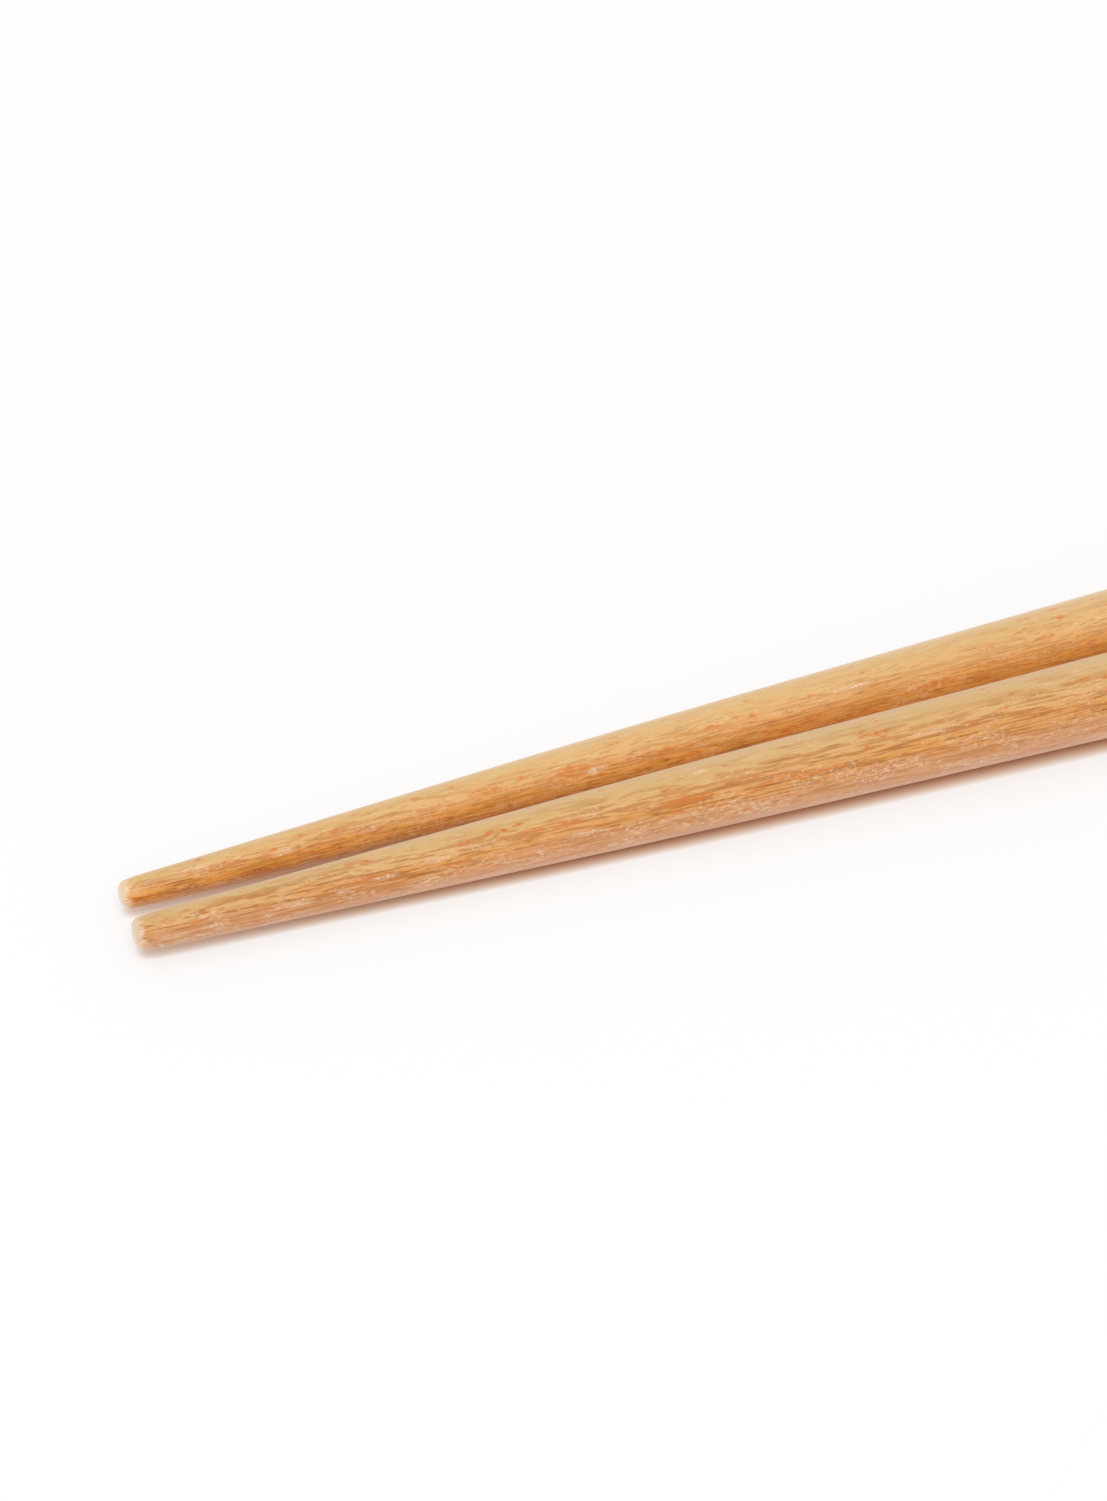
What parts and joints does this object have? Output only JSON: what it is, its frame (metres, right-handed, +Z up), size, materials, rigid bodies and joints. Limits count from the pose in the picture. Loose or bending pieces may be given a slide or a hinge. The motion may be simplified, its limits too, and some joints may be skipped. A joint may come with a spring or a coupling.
{
  "type": "pair of chopsticks",
  "caption": "Pair of round wooden chopsticks lying side by side, with slim blunt tips, a long even taper and straight handles with flat heads.",
  "frame": {"origin": "point on the table under the middle of the pair, halfway along its length and midway between the two sticks", "axes": "+X from the tips to the heads, +Y from the front stick to the rear stick, +Z up from the table"},
  "size_m": [0.2304, 0.0202, 0.0099],
  "materials": {
    "wood": "golden brown open-pored wood, smoothly turned, with a thin satin clear finish"
  },
  "bodies": {
    "root": {"rear_chopstick": "wood", "front_chopstick": "wood"}
  },
  "joints": []
}
